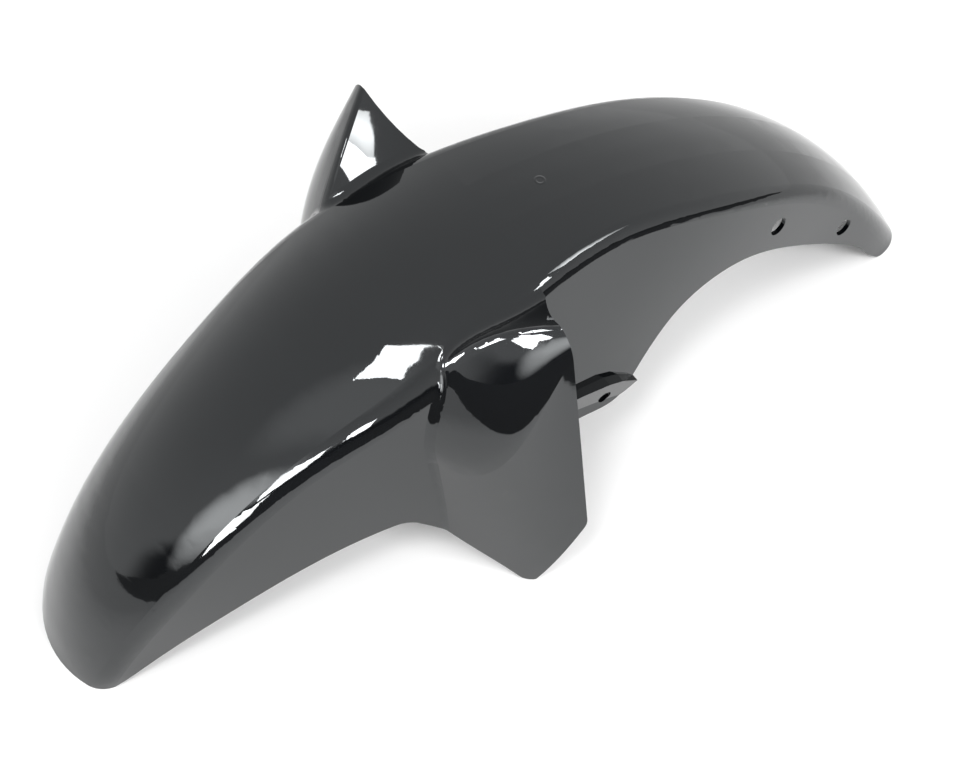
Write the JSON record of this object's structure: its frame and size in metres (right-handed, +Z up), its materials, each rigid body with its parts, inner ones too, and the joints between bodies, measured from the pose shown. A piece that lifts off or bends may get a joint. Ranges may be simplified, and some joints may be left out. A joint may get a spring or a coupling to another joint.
{
  "type": "motorcycle front mudguard",
  "caption": "Arched front mudguard moulded in one piece, with fork wings on both sides, a mounting pad behind each wing and stay holes in the rear side walls.",
  "frame": {"origin": "on the floor that the part stands on, at the middle of its length and width", "axes": "+X forward to the nose, +Y to the left, +Z up from the floor, with the part standing on its nose edge, wing tips and tail corners"},
  "size_m": [0.5652, 0.2426, 0.1937],
  "materials": {
    "gloss_black": "polished gloss"
  },
  "bodies": {
    "root": {"mudguard": "gloss_black"}
  },
  "joints": []
}
